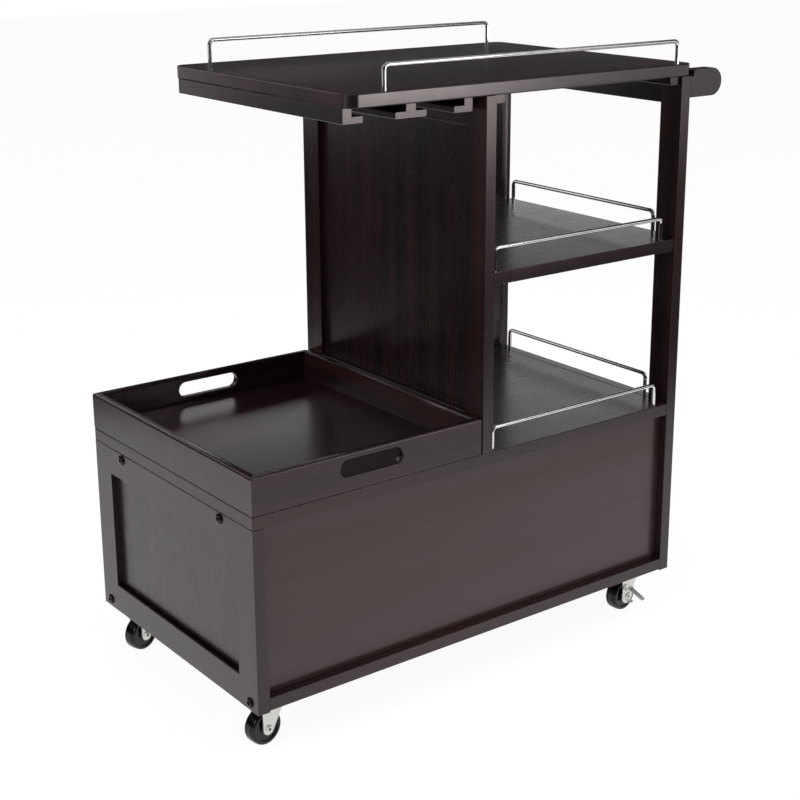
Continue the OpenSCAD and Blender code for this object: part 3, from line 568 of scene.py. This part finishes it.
for node in ("table_galleries", "middle_side_galleries", "lower_side_galleries"):
    bent_rods(node, True)
for node in ("middle_end_gallery", "lower_end_gallery"):
    bent_rods(node, False)

# Fasteners
repeat = repeat_tree()


def repeated(name, shape, finish, points, turns, like=None):
    """One turned shape on many points in mm, each turned by its own angles."""
    pattern = from_bmesh(name + "_pattern", shape, finish)
    points = [[value * MM for value in point] for point in points]
    piece = grown(name, points, repeat, {"Shape": pattern, "Material": finish}, turns)
    bpy.data.objects.remove(pattern)
    if like:
        place_piece(piece, like)
    return piece


# In mm: the underside of the base board, and the outer faces of the two end frames
BASE_Z, LEFT_X, RIGHT_X = 68, -407, 345
# Bolts through both ends, in mm off the middle and over the floor: into the base board and the deck's rails
BASE_BOLTS, DECK_BOLTS = (195, 77), (134.5, 313.5)
bolt_places, bolt_turns = [], []
for x, lean in ((LEFT_X, -math.pi / 2), (RIGHT_X, math.pi / 2)):
    for off, height in (BASE_BOLTS, DECK_BOLTS):
        for y in (-off, off):
            bolt_places.append((x, y, height))
            bolt_turns.append((0, lean, 0))
bolt = turned(
    [(0, -50), (2.6, -50), (3, -49.4), (3, 0)]
    + arc((4.0, 0), (3.5, 3.0), 0, 90)
    + [(2.9, 2.95, hexagon), (2.5, 2.7, hexagon), (2.5, 0.7, hexagon), (0, 0.5)],
    steps=48,
)
repeated("socket_bolts", bolt, bronzed, bolt_places, bolt_turns, "frame_bolts")

# Casters
# Swivel axis of each caster in mm, and how many degrees it is turned at rest
CASTERS = {
    "front_left": (-356.5, -172.0, 8.5),
    "back_left": (-356.5, 172.0, 16.5),
    "front_right": (304.0, -172.0, 7.5),
    "back_right": (304.0, 172.0, 12.0),
}
# In mm: plate, ball race, trail of the axle behind the swivel axis, its height, and half the fork's width
PLATE_T, RACE_H, TRAIL, AXLE_Z, FORK_HALF = 2, 3.3, 21, -43, 13
# In mm: half the plate's width, the radius of its corners, and how far its screws sit off the swivel axis
PLATE_HALF, PLATE_CORNER, SCREW_OFF = 21, 5.25, 15.5
swivels = [(x, y, BASE_Z) for x, y, turn in CASTERS.values()]

# How much further each screw is turned than the one before, in radians, so that no two crosses line up
SCREW_TWIST = 2.4
screw_places, screw_turns = [], []
for x, y, z in swivels:
    for dx in (-SCREW_OFF, SCREW_OFF):
        for dy in (-SCREW_OFF, SCREW_OFF):
            screw_places.append((x + dx, y + dy, z - PLATE_T))
            screw_turns.append((math.pi, 0, SCREW_TWIST * len(screw_turns)))
screw = turned(
    [(0, -15), (0.4, -15), (1.75, -12), (1.75, 0)]
    + arc((2.1, 0), (1.4, 2.0), 0, 90)
    + [(1.9, 1.95, cross), (1.4, 1.0, cross), (0, 0.7)],
    steps=48,
)
repeated("pan_head_screws", screw, zinc, screw_places, screw_turns, "caster_screws")

# Top plate with the two cups of its ball race, and the riveted kingpin
plate = bmesh.new()
outline = []
inset = PLATE_HALF - PLATE_CORNER
for quarter in range(4):
    middle = Matrix.Rotation(math.pi / 2 * quarter, 3, "Z") @ Vector((inset, inset, 0))
    for i in range(9):
        angle = math.pi / 2 * (quarter + i / 8)
        outline.append((middle + PLATE_CORNER * Vector((math.cos(angle), math.sin(angle), 0))) * MM)
face = plate.faces.new([plate.verts.new(p) for p in outline])
swept = bmesh.ops.extrude_face_region(plate, geom=[face])
below = [item for item in swept["geom"] if isinstance(item, bmesh.types.BMVert)]
bmesh.ops.translate(plate, verts=below, vec=(0, 0, -PLATE_T * MM))
rims = [e for e in plate.edges if abs(e.verts[0].co.z - e.verts[1].co.z) < 1e-7]
bmesh.ops.bevel(plate, geom=rims, offset=0.4 * MM, segments=2, profile=0.5, affect="EDGES")
race = turned(
    [(0, -1.9)]
    + arc((12.65, -2.25), (0.35, 0.35), 90, -90)
    + [(10.4, -2.6), (10.4, -4.7)]
    + arc((12.65, -5.0), (0.35, 0.3), 90, -90)
    + [(4, -5.3), (4, -7.7)]
    + arc((0, -7.7), (6.5, 3.25), 0, -90, steps=8),
    steps=64,
)
scratch = bpy.data.meshes.new("race")
race.to_mesh(scratch)
race.free()
plate.from_mesh(scratch)
flat = [(0, 0, 0)] * 4
repeated("plates_and_races", plate, zinc, swivels, flat, "caster_plates")

# Balls of each race: their number, and in mm their diameter and the radius of the ring that they run in
BALLS, BALL_D, BALL_RING = 24, 2.2, 11.7
ball = bmesh.new()
bmesh.ops.create_icosphere(ball, subdivisions=2, radius=BALL_D / 2 * MM)
ball_places = []
for x, y, z in swivels:
    for i in range(BALLS):
        angle = 2 * math.pi * i / BALLS
        across, ahead = BALL_RING * math.cos(angle), BALL_RING * math.sin(angle)
        ball_places.append((x + across, y + ahead, z - PLATE_T - RACE_H / 2))
balls = repeated("race_balls", ball, zinc, ball_places, [(0, 0, 0)] * len(ball_places))
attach(balls, "root")

# One side of the wheel, from its hub over a dished web and a raised rim to the grooved and crowned tread
WHEEL_R, CROWN_R = 25, 36
WHEEL_SIDE = (
    [(3.05, 10)]
    + arc((7.2, 9.3), (0.7, 0.7), 90, 0, steps=3)
    + arc((9.2, 9.3), (1.3, 1.3), 180, 270, steps=3)
    + arc((17.6, 9.0), (1.0, 1.0), 270, 360, steps=3)
    + arc((19.6, 9.0), (1.0, 0.95), 180, 90, steps=3)
    + arc((21.9, 5.6), (2.68, 4.35), 90, 0, steps=7)
    + [(23.9, 5.45), (23.9, 4.55)]
    + arc((WHEEL_R - CROWN_R, 0), (CROWN_R, CROWN_R), 7, 2, steps=3)
)
wheel_profile = WHEEL_SIDE + [(r, -z) for r, z in reversed(WHEEL_SIDE)]
# A hollow rivet's rolled head, by height over the surface that it clamps
RIVET_HEAD = (
    [(3, 0)]
    + arc((3.5, 0), (1.8, 2.4), 0, 90)
    + arc((3.5, 1.2), (1.5, 1.2), 110, 180, steps=4)
    + [(2.0, -2.5), (0, -2.8)]
)
# In mm: the lever's cheek and the gap on either side of it, and the edges that are tumbled off fork and lever
LEVER_T, LEVER_GAP, FORK_EDGE, LEVER_EDGE = 1.6, 0.2, 0.35, 0.3

for caster, (x, y, turn) in CASTERS.items():
    braked = "right" in caster
    swivel = Matrix.Translation(Vector((x, y, BASE_Z)) * MM) @ Matrix.Rotation(math.radians(turn), 4, "Z")
    axle_place = (
        swivel @ Matrix.Translation(Vector((-TRAIL, 0, AXLE_Z)) * MM) @ Matrix.Rotation(math.pi / 2, 4, "X")
    )
    tyre = turned(wheel_profile)
    tyre.transform(axle_place)
    piece = from_bmesh(caster + "_tyre", tyre, black_wheel)
    place_piece(piece, caster + "_wheel")

    # On a braked caster one head of the rivet lies over the lever
    near = FORK_HALF + (LEVER_T + 2 * LEVER_GAP if braked else 0)
    near_head = [(r, near + z) for r, z in RIVET_HEAD]
    far_head = [(r, -FORK_HALF - z) for r, z in reversed(RIVET_HEAD)]
    rivet = turned(near_head + far_head, steps=48)
    rivet.transform(axle_place)
    piece = from_bmesh(caster + "_rivet", rivet, zinc)
    place_piece(piece, caster + "_axle")

    eased(caster + "_channel", caster + "_fork", FORK_EDGE)
    if braked:
        # The bead that is pressed up round the axle
        top = FORK_HALF + LEVER_GAP + LEVER_T
        bead = turned(arc((7.9, top - 0.2), (1.5, 0.8), 0, 180, steps=8), steps=48)
        bead.transform(axle_place)
        scratch = bpy.data.meshes.new("bead")
        bead.to_mesh(scratch)
        bead.free()
        eased(caster + "_lever", caster + "_brake", LEVER_EDGE, added=scratch)

# Boards
SOFT_EDGED = ("deck_board", "tray_front_wall", "tray_back_wall", "tray_left_wall", "tray_right_wall")
# How far in mm an edge is taken off: routed on the top, sanded soft where hands go, and broken elsewhere
TOP_EDGE, SOFT_EDGE, BROKEN_EDGE = 1.8, 1.2, 0.5
for node in [name for kind in WOODS.values() for name in kind[-1]]:
    if node == "tabletop":
        eased("rounded_tabletop", node, TOP_EDGE, segments=4)
    else:
        width = SOFT_EDGE if node in SOFT_EDGED else BROKEN_EDGE
        eased("sanded_" + node, node, width)


# Stage
def seen_white(tree):
    """1 for the rays by which the background is seen, straight or in metal and lacquer."""
    path = add(tree, "ShaderNodeLightPath")
    seen = path.outputs["Is Camera Ray"]
    for name in ("Is Glossy Ray", "Is Transmission Ray"):
        either = add(tree, "ShaderNodeMath", {0: seen, 1: path.outputs[name]}, operation="MAXIMUM")
        seen = either.outputs[0]
    return seen


FLOOR_HALF = 12
# How bright the floor's glow is to the viewer, and its share beside the floor's own light
FLOOR_GLOW, GLOW_SHARE = 1.04, 0.9
# How bright the backdrop is to the viewer, and as the fill that falls on everything
BACKDROP, FILL = 1.0, 0.36


def lay_floor():
    """A pale floor that shows nearly white and keeps a soft shadow under the cart."""
    mesh = bpy.data.meshes.new("floor")
    corners = [(FLOOR_HALF * x, FLOOR_HALF * y, 0) for x, y in ((-1, -1), (1, -1), (1, 1), (-1, 1))]
    mesh.from_pydata(corners, [], [(0, 1, 2, 3)])
    floor = bpy.data.objects.new("floor", mesh)
    bpy.context.scene.collection.objects.link(floor)
    paper = bpy.data.materials.new("white_paper")
    paper.use_nodes = True
    tree = paper.node_tree
    tree.nodes.clear()
    matt = add(tree, "ShaderNodeBsdfDiffuse", {"Color": linear("#f2f2f2")})
    glow = add(tree, "ShaderNodeEmission", {"Color": (1, 1, 1, 1), "Strength": FLOOR_GLOW})
    share = add(tree, "ShaderNodeMath", {0: seen_white(tree), 1: GLOW_SHARE}, operation="MULTIPLY")
    both = {0: share.outputs[0], 1: matt.outputs[0], 2: glow.outputs[0]}
    both = add(tree, "ShaderNodeMixShader", both)
    add(tree, "ShaderNodeOutputMaterial", {"Surface": both.outputs[0]})
    mesh.materials.append(paper)


def light_world():
    """A white backdrop to the viewer, and a plain grey fill to everything else."""
    world = bpy.data.worlds.new("studio")
    bpy.context.scene.world = world
    world.use_nodes = True
    tree = world.node_tree
    tree.nodes.clear()
    strength = add(tree, "ShaderNodeMapRange", {0: seen_white(tree), 3: FILL, 4: BACKDROP})
    sky = add(tree, "ShaderNodeBackground", {"Color": (1, 1, 1, 1), "Strength": strength.outputs[0]})
    add(tree, "ShaderNodeOutputWorld", {"Surface": sky.outputs[0]})


def softbox(name, place, aim, size, power):
    """A large square lamp at place that faces aim."""
    lamp = bpy.data.lights.new(name, "AREA")
    lamp.shape, lamp.size, lamp.energy = "SQUARE", size, power
    holder = bpy.data.objects.new(name, lamp)
    holder.location = place
    holder.rotation_euler = (Vector(aim) - Vector(place)).to_track_quat("-Z", "Y").to_euler()
    holder.visible_camera = False
    bpy.context.scene.collection.objects.link(holder)


# How far from the middle the cards stand, and the heights of their edges. Between STRIP_LOW and STRIP_HIGH
# the lower boards mirror a strip of the white backdrop, except where a card stands in it.
CARD_R, CARD_FOOT, STRIP_LOW, STRIP_HIGH, CARD_TOP, ROOF = 1.4, 0.03, 0.6, 0.9, 1.9, 2.0


def stand_card(name, span, low, high, card, inner=CARD_R):
    """A curved card round the cart, over a span of compass angles from +Y towards +X. Its top edge can lean
    in to a smaller radius. Only reflections see it, so it hides nothing and takes no light away."""
    mesh = bpy.data.meshes.new(name)
    steps = 24
    points, faces = [], []
    for i in range(steps + 1):
        angle = math.radians(span[0] + (span[1] - span[0]) * i / steps)
        for r, z in ((CARD_R, low), (inner, high)):
            points.append((r * math.sin(angle), r * math.cos(angle), z))
        if i:
            faces.append((2 * i - 2, 2 * i, 2 * i + 1, 2 * i - 1))
    mesh.from_pydata(points, [], faces)
    mesh.materials.append(card)
    stood = bpy.data.objects.new(name, mesh)
    bpy.context.scene.collection.objects.link(stood)
    stood.visible_camera = stood.visible_diffuse = False
    stood.visible_transmission = stood.visible_shadow = False


lay_floor()
light_world()
velvet = moulded("black_velvet", "#0a0a0a", 0.9, 2.0)
grey_card = moulded("grey_card", "#a8a8a8", 0.9, 2.0)
white_card = moulded("white_card", "#ececec", 0.9, 2.0)
stand_card("flag_low", (-180, 180), CARD_FOOT, STRIP_LOW, velvet)
# Rods along X mirror the white card at the front, and rods along Y the open gap in the high cards at the back
# left. Both give the rods their bright core.
stand_card("flag_high_right", (-16, 128), STRIP_HIGH, CARD_TOP, velvet)
stand_card("flag_front", (128, 156), STRIP_HIGH, CARD_TOP, white_card)
stand_card("flag_high_left", (156, 312), STRIP_HIGH, CARD_TOP, velvet)
stand_card("flag_left", (-80, -36), STRIP_LOW, STRIP_HIGH, grey_card)
stand_card("flag_camera", (-188, -98), STRIP_LOW, STRIP_HIGH, velvet)
stand_card("flag_above", (-180, 180), CARD_TOP, ROOF, grey_card, inner=0.05)
MIDDLE = (0.0, 0.0, 0.45)
softbox("softbox_left", (-3.2, -0.6, 1.8), MIDDLE, 2.0, 60)
softbox("softbox_above", (0.2, -0.6, 3.4), MIDDLE, 2.4, 50)
softbox("softbox_front", (1.58, -2.8, 0.78), MIDDLE, 0.9, 24)

# Camera
# The photograph's viewing angle. Its upright lines are parallel, so it was taken with a large shift. The
# cart is also seen from other sides with this camera, so most of that shift is a pitch here.
VIEW_FROM = (-1.3266, -1.7489, 1.0785)
YAW, PITCH = math.radians(37.77), math.radians(16.44)
camera = bpy.data.objects.new("camera", bpy.data.cameras.new("camera"))
camera.location = VIEW_FROM
ahead = (math.sin(YAW) * math.cos(PITCH), math.cos(YAW) * math.cos(PITCH), -math.sin(PITCH))
camera.rotation_euler = Vector(ahead).to_track_quat("-Z", "Y").to_euler()
camera.data.lens, camera.data.sensor_width = 69.67, 36
camera.data.shift_x, camera.data.shift_y = -0.03, -0.06
bpy.context.scene.collection.objects.link(camera)
bpy.context.scene.camera = camera
bpy.context.scene.view_settings.view_transform = "Standard"
